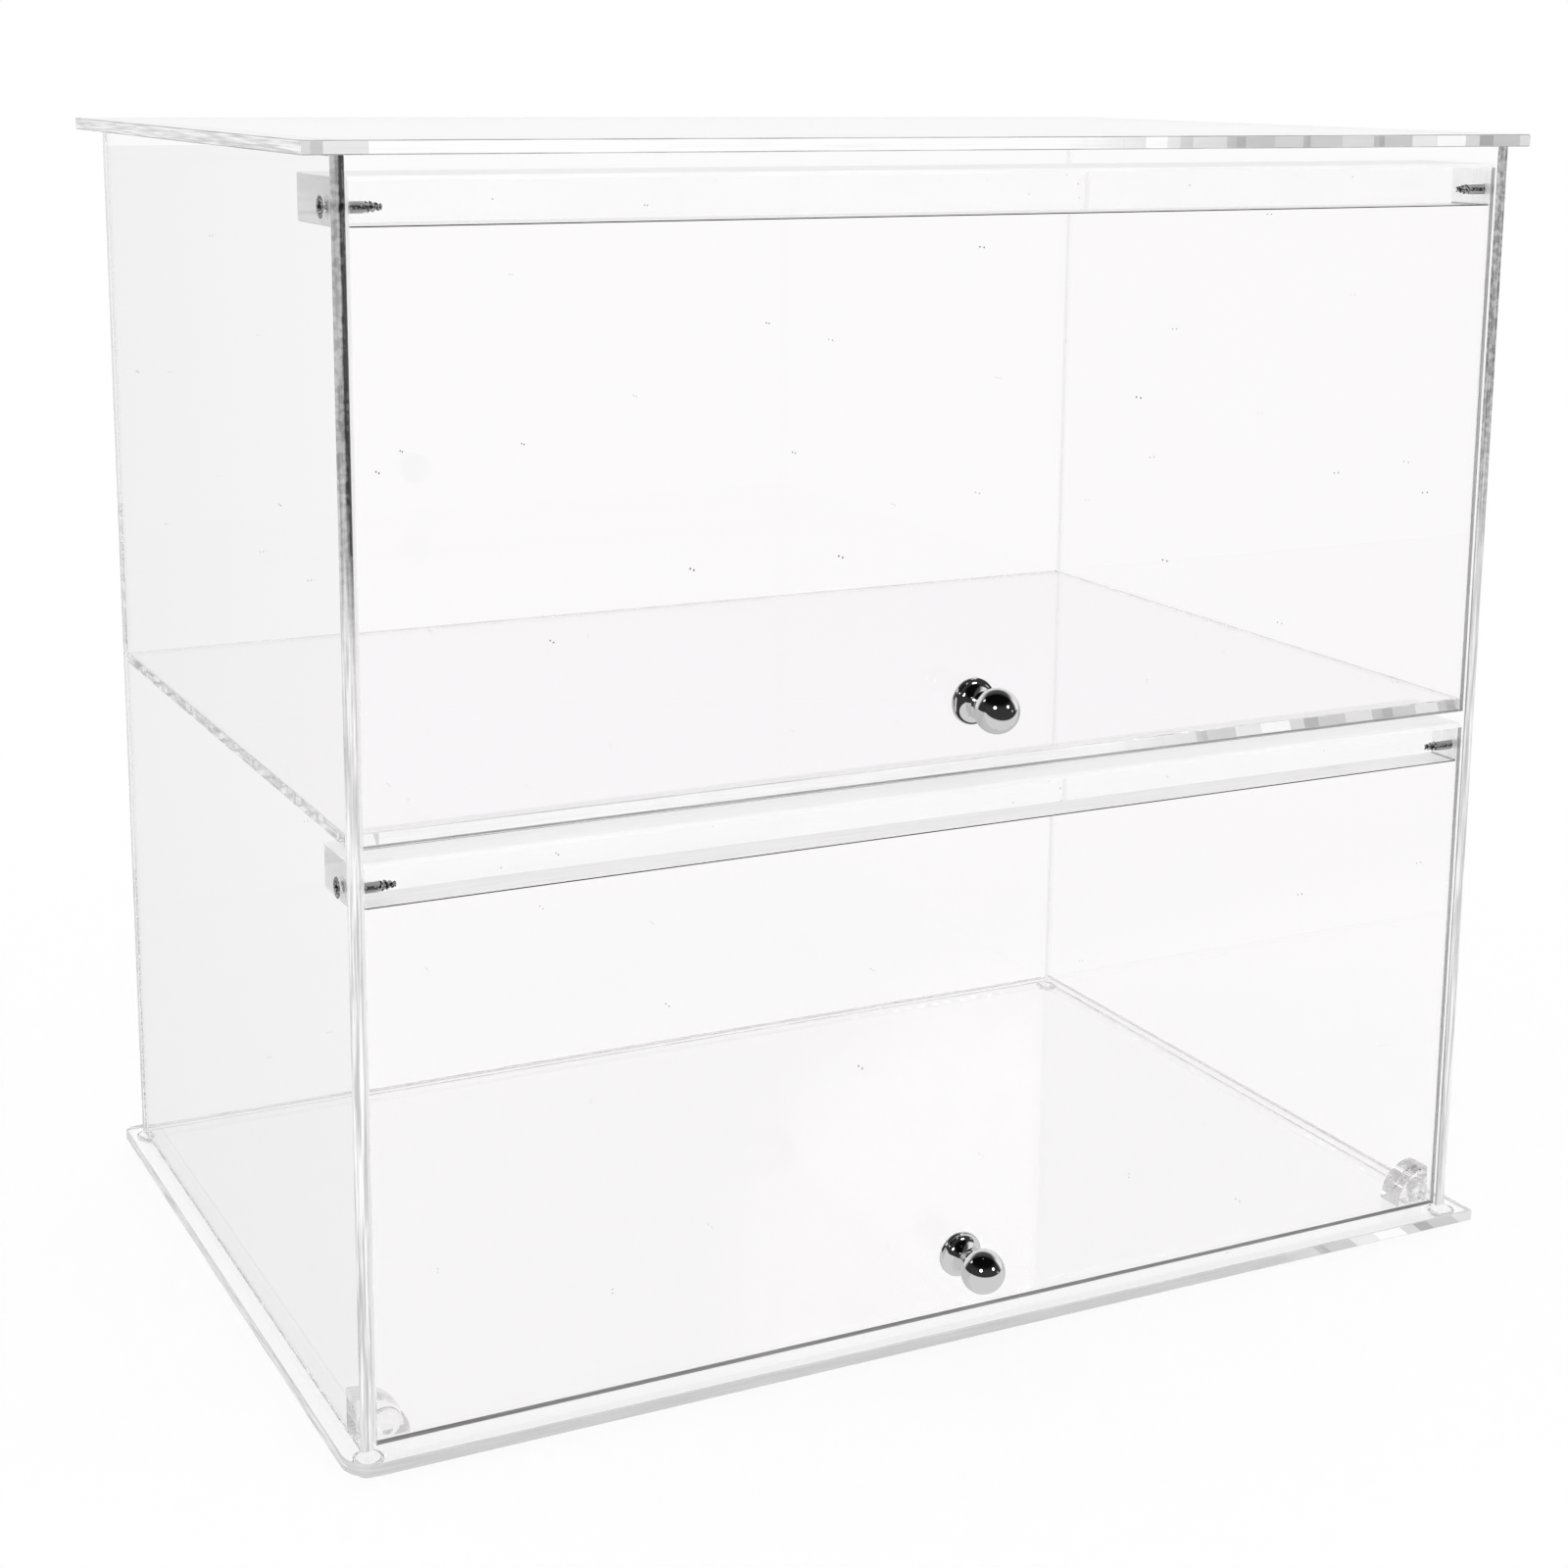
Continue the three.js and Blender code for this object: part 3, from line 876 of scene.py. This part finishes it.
def turned_tree():
    board, value = geometry_tree("turned form", {
        "Outline": ("Geometry", None),
        "Steps": ("Int", 48),
        "Pitch": ("Float", 1.0),
        "Thread Depth": ("Float", 0.0),
        "Thread From": ("Float", 0.0),
        "Thread To": ("Float", 0.0),
        "Cross Width": ("Float", 1.0),
        "Cross Reach": ("Float", 1.0),
        "Cross Depth": ("Float", 0.0),
        "Places": ("Object", None),
        "Material": ("Material", None),
    })
    given_mesh = {"Geometry": value["Outline"]}
    size = board.node("GeometryNodeAttributeDomainSize", {"component": "MESH"}, given_mesh)
    rows = board.wire(size, "Point Count")
    grid = board.node("GeometryNodeMeshGrid", None, {
        "Size X": rows - 1,
        "Size Y": value["Steps"],
        "Vertices X": rows,
        "Vertices Y": value["Steps"] + 1,
    })
    position = board.wire(board.node("GeometryNodeInputPosition"))
    row_place, column_place, _ = board.split(position)
    row = row_place + (rows - 1) * 0.5
    turn = column_place / value["Steps"] + 0.5
    sample = board.node("GeometryNodeSampleIndex", {"data_type": "FLOAT_VECTOR"}, {
        "Geometry": value["Outline"],
        "Value": position,
        "Index": row.maths("ROUND"),
    })
    radius, height, _ = board.split(board.wire(sample))
    radius = radius - thread(board, value, height, turn)
    angle = turn * math.tau
    x = radius * angle.maths("COSINE")
    y = radius * angle.maths("SINE")
    pressed = height + cross_recess(board, value, x, y) * (height < MM)
    moved = board.node("GeometryNodeSetPosition", None, {
        "Geometry": board.wire(grid, "Mesh"),
        "Position": board.joined(x, y, pressed),
    })
    flipped = board.node("GeometryNodeFlipFaces", None, {"Mesh": board.wire(moved)})
    merge = {"Geometry": board.wire(flipped), "Distance": MERGE_GAP}
    closed = board.wire(board.node("GeometryNodeMergeByDistance", None, merge))
    put_on_places(board, closed, value["Places"], value["Material"])
    return board.tree


def thread(board, value, height, turn):
    """How far the surface lies below the thread's crest."""
    phase = (height / value["Pitch"] - turn).maths("FRACT")
    valley = abs(phase * 2 - 1).ramp(*VALLEY_SPAN, 1.0, 0.0)
    start = (height - value["Thread From"]).ramp(0.0, THREAD_FADE)
    end = (value["Thread To"] - height).ramp(0.0, THREAD_FADE)
    return valley * start * end * value["Thread Depth"]


def cross_recess(board, value, x, y):
    """How deep the cross is pressed in: two bars that taper towards their ends."""
    depth = None
    for along, across in ((x, y), (y, x)):
        side = (value["Cross Width"] * 0.5 - abs(across)).ramp(*CROSS_WALL)
        end = (value["Cross Reach"] - abs(along)).ramp(*CROSS_END)
        bar = side * end
        depth = bar if depth is None else depth.at_least(bar)
    return depth * value["Cross Depth"]


def put_on_places(board, form, places, material):
    """Sets a copy on every point of the places, turned to its facing."""
    info = board.node("GeometryNodeObjectInfo", None, {"Object": places})
    facing = board.node("GeometryNodeInputNamedAttribute", {"data_type": "FLOAT_VECTOR"}, {"Name": "facing"})
    turned = board.node("FunctionNodeAlignRotationToVector", {"axis": "Z"}, {"Vector": board.wire(facing)})
    copies = board.node("GeometryNodeInstanceOnPoints", None, {
        "Points": board.wire(info, "Geometry"),
        "Instance": form,
        "Rotation": board.wire(turned),
    })
    finish_tree(board, copies, material)


TURNED = turned_tree()
print("turned form tree:", len(TURNED.nodes), "nodes")

# %% [markdown]
# A modifier carries the tree on a helper object. Its inputs are set by their identifiers, then the
# result is taken from the evaluated object as one plain mesh, and the helper goes. The normals are
# worked out again once the seam is closed, and edges sharper than a set angle stay crisp.

# %% From a tree to a finished piece
SHARP = math.radians(38)


def points_object(name, points, facings=None):
    mesh = mesh_of(name, points)
    if facings:
        attribute = mesh.attributes.new("facing", "FLOAT_VECTOR", "POINT")
        for item, facing in zip(attribute.data, facings):
            item.vector = facing
    return put_in_scene(name, mesh)


def run_tree(name, tree, source, inputs):
    """Runs a tree on an object and returns the result as a plain mesh piece."""
    modifier = source.modifiers.new("form", "NODES")
    modifier.node_group = tree
    identifiers = {item.name: item.identifier for item in tree.interface.items_tree if item.in_out == "INPUT"}
    for title, value in inputs.items():
        modifier[identifiers[title]] = value
    graph = bpy.context.evaluated_depsgraph_get()
    mesh = bpy.data.meshes.new_from_object(source.evaluated_get(graph), depsgraph=graph)
    source.modifiers.remove(modifier)
    bpy.data.objects.remove(source)
    mesh.name = name
    tidy_mesh(mesh)
    piece = put_in_scene(name, mesh)
    print(f"{name}: {len(mesh.polygons)} faces,", [round(v / MM, 1) for v in piece.dimensions])
    return piece


def tidy_mesh(mesh):
    work = bmesh.new()
    work.from_mesh(mesh)
    bmesh.ops.recalc_face_normals(work, faces=work.faces)
    open_edges = sum(not edge.is_manifold for edge in work.edges)
    work.to_mesh(mesh)
    work.free()
    if "facing" in mesh.attributes:
        mesh.attributes.remove(mesh.attributes["facing"])
    mesh.shade_smooth()
    mesh.set_sharp_from_angle(angle=SHARP)
    if open_edges:
        print(f"  {mesh.name}: {open_edges} open edges")


def turn(name, outline, places, facings, material, steps, **more):
    source = points_object(name + "_outline", [(radius, height, 0) for radius, height in outline])
    where = points_object(name + "_places", places, facings)
    inputs = {"Steps": steps, "Places": where, "Material": material}
    inputs.update({title.replace("_", " ").title(): value for title, value in more.items()})
    piece = run_tree(name, TURNED, source, inputs)
    bpy.data.objects.remove(where)
    return piece


def line(start, end, steps):
    """Points from start to end, without the end itself."""
    return [tuple(Vector(start).lerp(Vector(end), i / steps)) for i in range(steps)]


print("helpers for turned pieces are ready")

# %% [markdown]
# ## The ball knobs
# Each door is lifted by a turned brass knob: a flange against the door, a sweep up to a slim neck
# and a ball. Its outline is two arcs and a few straight lines, in the sizes of the CAD solid, and
# inside it runs the blind bore for its screw. It is spun in many steps, because every facet would
# break the reflections on the ball.

# %% The ball knobs
KNOB_STEPS = 96
BALL_RADIUS = 8.85 * MM
BALL_REACH = 18.2 * MM
FLANGE_RADIUS = 9.2 * MM
FLANGE_RIM = 1.4 * MM
FLANGE_LIP = 0.35 * MM
NECK_RADIUS = 4.3 * MM
SWEEP_END = 7.0 * MM
BORE_RADIUS = 2.2 * MM
BORE_DEPTH = 8.2 * MM
SWEEP_STEPS = 24
BALL_STEPS = 48
LIP_STEPS = 4
OUTWARDS = (0, -1, 0)


def arc(centre, reach, start, end, steps):
    """Points on a quarter or half turn of an ellipse, both ends included. Angles from the radius axis."""
    found = []
    for i in range(steps + 1):
        angle = start + (end - start) * i / steps
        found.append((centre[0] + reach[0] * math.cos(angle), centre[1] + reach[1] * math.sin(angle)))
    return found


def knob_outline():
    lip = (FLANGE_RADIUS - FLANGE_LIP, FLANGE_RIM - FLANGE_LIP)
    neck_angle = math.asin(NECK_RADIUS / BALL_RADIUS)
    outline = [(0, BORE_DEPTH), (BORE_RADIUS, BORE_DEPTH), (BORE_RADIUS, 0), (FLANGE_RADIUS, 0)]
    outline += arc(lip, (FLANGE_LIP, FLANGE_LIP), 0, math.pi / 2, LIP_STEPS)
    sweep = (FLANGE_RADIUS - FLANGE_LIP - NECK_RADIUS, SWEEP_END - FLANGE_RIM)
    outline += arc((FLANGE_RADIUS - FLANGE_LIP, SWEEP_END), sweep, -math.pi / 2, -math.pi, SWEEP_STEPS)
    ball = (BALL_RADIUS, BALL_RADIUS)
    outline += arc((0, BALL_REACH), ball, neck_angle - math.pi / 2, math.pi / 2, BALL_STEPS)
    outline[-1] = (0, BALL_REACH + BALL_RADIUS)
    return outline


def side_centre(node, axis, last):
    """The middle of one side of a node's box: the side at the end of an axis, or at its start."""
    low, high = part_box(node)
    middle = (low + high) / 2
    middle[axis] = high[axis] if last else low[axis]
    return middle


for tier in ("upper", "lower"):
    node = tier + "_knob"
    knob = turn(
        tier + "_ball_knob", knob_outline(), [side_centre(node, Y, True)], [OUTWARDS],
        POLISHED_CHROME, KNOB_STEPS,
    )
    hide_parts(node)
    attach(knob, tier + "_door")

# %% [markdown]
# ## The hinge screws
# The doors hang on countersunk screws that are put in from outside: they turn in the side panels and
# bite into the hinge bars. Through the clear plastic the whole screw shows, so it needs its conical
# head, cross recess, plain neck, thread and pointed tip. Each door's pair is made by one run of the
# tree, on two places that face each other.

# %% The hinge screws
SCREW_STEPS = 40
SCREW_HEAD = 3.8 * MM
SCREW_EDGE = 0.3 * MM
SCREW_CONE = 2.2 * MM
SCREW_SHANK = 2.0 * MM
SCREW_TIP = 1.1 * MM
SCREW_LENGTH = 20.0 * MM
SCREW_TAPER = 4.0 * MM
SCREW_NECK = 5.2 * MM
SCREW_PITCH = 1.9 * MM
SCREW_THREAD = 0.7 * MM
CROSS = {"cross_width": 1.0 * MM, "cross_reach": 2.3 * MM, "cross_depth": 1.3 * MM}
RING_STEP = 0.16 * MM
CONE_STEPS = 4


def rings(length):
    return max(1, round(length / RING_STEP))


def screw_outline():
    outline = line((0, 0), (SCREW_HEAD, 0), rings(SCREW_HEAD))
    outline += [(SCREW_HEAD, 0)]
    outline += line((SCREW_HEAD, SCREW_EDGE), (SCREW_SHANK, SCREW_CONE), CONE_STEPS)
    taper = SCREW_LENGTH - SCREW_TAPER
    outline += line((SCREW_SHANK, SCREW_CONE), (SCREW_SHANK, taper), rings(taper - SCREW_CONE))
    outline += line((SCREW_SHANK, taper), (SCREW_TIP, SCREW_LENGTH), rings(SCREW_TAPER))
    return outline + [(SCREW_TIP, SCREW_LENGTH), (0, SCREW_LENGTH)]


def screw_heads(tier):
    """The centre of each screw's outer face, and the way into the case."""
    sides = (("left", False), ("right", True))
    places = [side_centre(f"{tier}_hinge_screw_{word}", X, last) for word, last in sides]
    return places, [(1, 0, 0), (-1, 0, 0)]


for tier in ("upper", "lower"):
    places, facings = screw_heads(tier)
    screws = turn(
        tier + "_countersunk_screws", screw_outline(), places, facings, PLATED_STEEL, SCREW_STEPS,
        pitch=SCREW_PITCH, thread_depth=SCREW_THREAD, thread_from=SCREW_NECK, thread_to=SCREW_LENGTH,
        **CROSS,
    )
    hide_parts(f"{tier}_hinge_screw_left", f"{tier}_hinge_screw_right")
    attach(screws, tier + "_door")

# %% [markdown]
# ## The screws inside the knobs
# A machine screw goes through each door from behind and holds the knob. Its rounded head shows from
# inside the case, and through the clear door. It is the same kind of form with a finer thread and
# a domed head, so the same tree makes it.

# %% The screws inside the knobs
BOLT_HEAD = 4.0 * MM
BOLT_CROWN = 2.6 * MM
BOLT_RIM = 1.3 * MM
BOLT_FLAT = 2.88 * MM
BOLT_SHANK = 2.0 * MM
BOLT_LENGTH = 13.0 * MM
BOLT_PITCH = 0.7 * MM
BOLT_THREAD = 0.3 * MM
BOLT_STEP = 0.09 * MM
CROWN_STEPS = 8


def bolt_outline():
    """From the middle of the crown, which lies at zero, to the end of the shank."""
    outline = line((0, 0), (BOLT_FLAT, 0), rings(BOLT_FLAT))
    curve = (BOLT_HEAD - BOLT_FLAT, BOLT_CROWN - BOLT_RIM)
    outline += arc((BOLT_FLAT, curve[1]), curve, -math.pi / 2, 0, CROWN_STEPS)
    outline += [(BOLT_HEAD, BOLT_CROWN)]
    end = BOLT_CROWN + BOLT_LENGTH
    outline += line((BOLT_SHANK, BOLT_CROWN), (BOLT_SHANK, end), round(BOLT_LENGTH / BOLT_STEP))
    return outline + [(BOLT_SHANK, end), (0, end)]


for tier in ("upper", "lower"):
    node = tier + "_knob_screw"
    bolt = turn(
        tier + "_knob_bolt", bolt_outline(), [side_centre(node, Y, True)], [OUTWARDS],
        PLATED_STEEL, SCREW_STEPS,
        pitch=BOLT_PITCH, thread_depth=BOLT_THREAD,
        thread_from=BOLT_CROWN, thread_to=BOLT_CROWN + BOLT_LENGTH,
        **CROSS,
    )
    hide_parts(node)
    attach(bolt, tier + "_door")

# %% [markdown]
# ## The bumpers
# Six equal domes: four under the base plate and two on the stop blocks. One outline, six places, one
# piece: all six stay with the case when the doors swing.

# %% The bumpers
DOME_STEPS = 64
DOME_RADIUS = 6.0 * MM
DOME_HEIGHT = 3.2 * MM
DOME_FLAT = 2.25 * MM
DOME_ARC_STEPS = 16


def dome_outline():
    reach = (DOME_RADIUS - DOME_FLAT, DOME_HEIGHT)
    return [(0, 0)] + arc((DOME_FLAT, 0), reach, 0, math.pi / 2, DOME_ARC_STEPS) + [(0, DOME_HEIGHT)]


def bumper_places():
    """The centre of each glued back, and the way that its dome points: down, or out to the front."""
    axes = [clear_axis(name) for name in BUMPERS]
    places = [side_centre(name, axis, True) for name, axis in zip(BUMPERS, axes)]
    return places, [[-1 if i == axis else 0 for i in (X, Y, Z)] for axis in axes]


places, facings = bumper_places()
domes = turn("soft_bumpers", dome_outline(), places, facings, SOFT_CLEAR, DOME_STEPS)
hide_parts(*BUMPERS)
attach(domes, "case")

# %% [markdown]
# ## Bubbles in the cement
# Cement that ran short leaves small flat bubbles in a joint, and on the real case they show as dark
# and light specks along the shelf and the plates. Their places follow a surface, so Geometry Nodes
# scatter them: points over the joints' rectangles with a fixed seed, a small ball on each, pressed
# flat and each of its own size. A bubble is air inside plastic, so its index is the inverse of the
# plastic's.

# %% The tree that scatters bubbles
BUBBLE_DENSITY = 16000.0
BUBBLE_SEED = 7
BUBBLE_LEAST = 0.1 * MM
BUBBLE_MOST = 0.42 * MM
BUBBLE_FLATNESS = 0.3
BUBBLE_MARGIN = 0.5 * MM
BUBBLE_FINENESS = 2
BUBBLE_TINT = 0.9
BUBBLE_ROUGHNESS = 0.2
DOOR_BUBBLES = 0.12


def bubble_tree():
    board, value = geometry_tree("cement bubbles", {
        "Joints": ("Geometry", None),
        "Density": ("Float", 1000.0),
        "Seed": ("Int", 0),
        "Least Radius": ("Float", 0.001),
        "Greatest Radius": ("Float", 0.001),
        "Flatness": ("Float", 1.0),
        "Material": ("Material", None),
    })
    scattered = board.node("GeometryNodeDistributePointsOnFaces", {"distribute_method": "RANDOM"}, {
        "Mesh": value["Joints"],
        "Density": value["Density"],
        "Seed": value["Seed"],
    })
    ball = board.node("GeometryNodeMeshIcoSphere", None, {"Radius": 1.0, "Subdivisions": BUBBLE_FINENESS})
    seed = {"Seed": value["Seed"]}
    chance = board.node("FunctionNodeRandomValue", {"data_type": "FLOAT"}, seed)
    drawn = Wire(board, next(s for s in chance.outputs if s.enabled))
    least = value["Least Radius"]
    size = least + (value["Greatest Radius"] - least) * drawn * drawn * drawn
    copies = board.node("GeometryNodeInstanceOnPoints", None, {
        "Points": board.wire(scattered, "Points"),
        "Instance": board.wire(ball, "Mesh"),
        "Rotation": board.wire(scattered, "Rotation"),
        "Scale": board.joined(size, size, size * value["Flatness"]),
    })
    finish_tree(board, copies, value["Material"])
    return board.tree


BUBBLES = bubble_tree()
print("bubble tree:", len(BUBBLES.nodes), "nodes")


# %% The bubbles
def air_in_plastic():
    material, board = new_material("air_in_cement")
    place = board.place()
    rough = board.noise(place, [STEEL_GRAIN] * 3, detail=1.0)
    rough = rough.ramp(*NOISE_SPAN, 0.0, BUBBLE_ROUGHNESS)
    sockets = {"Color": grey(BUBBLE_TINT), "Roughness": rough, "IOR": 1 / ACRYLIC_IOR}
    glass = board.node("BsdfGlass", None, sockets)
    board.show(seen_through(board, board.wire(glass)))
    return material


def joint_strips(body, names):
    """The flat joints of a body's own sheets as a mesh of rectangles."""
    corners = []
    seen = set()
    for name in names:
        for joint in JOINTS[name]:
            key = tuple(round(v / MM, 1) for v in joint["centre"])
            if joint["round"] or key in seen:
                continue
            seen.add(key)
            wide = [axis for axis in (X, Y, Z) if axis != joint["axis"]]
            for signs in CORNER_SIGNS:
                corner = joint["centre"].copy()
                for axis, sign in zip(wide, signs):
                    corner[axis] += sign * (joint["half"][axis] - BUBBLE_MARGIN)
                corners.append(corner)
    faces = [tuple(range(i, i + 4)) for i in range(0, len(corners), 4)]
    return put_in_scene(body + "_joints", mesh_of(body + "_joints", corners, faces))


AIR = air_in_plastic()
for body, share in (("case", 1.0), ("upper_door", DOOR_BUBBLES), ("lower_door", DOOR_BUBBLES)):
    names = [name for name in frame["record"]["behaviour"]["bodies"][body] if name in PLASTIC]
    bubbles = run_tree(body + "_cement_bubbles", BUBBLES, joint_strips(body, names), {
        "Density": BUBBLE_DENSITY * share,
        "Seed": BUBBLE_SEED,
        "Least Radius": BUBBLE_LEAST,
        "Greatest Radius": BUBBLE_MOST,
        "Flatness": BUBBLE_FLATNESS,
        "Material": AIR,
    })
    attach(bubbles, body)

# %% [markdown]
# ## Render settings
# The view transform is Standard, so that a colour comes out as it is written. Clear sheets behind
# each other need long light paths: with too few, their edges turn black.

# %% Render settings
LONGEST_PATH = 128
MOST_LAYERS = 64

scene = bpy.context.scene
scene.view_settings.view_transform = "Standard"
scene.cycles.max_bounces = LONGEST_PATH
scene.cycles.transmission_bounces = LONGEST_PATH
scene.cycles.glossy_bounces = LONGEST_PATH
scene.cycles.transparent_max_bounces = MOST_LAYERS
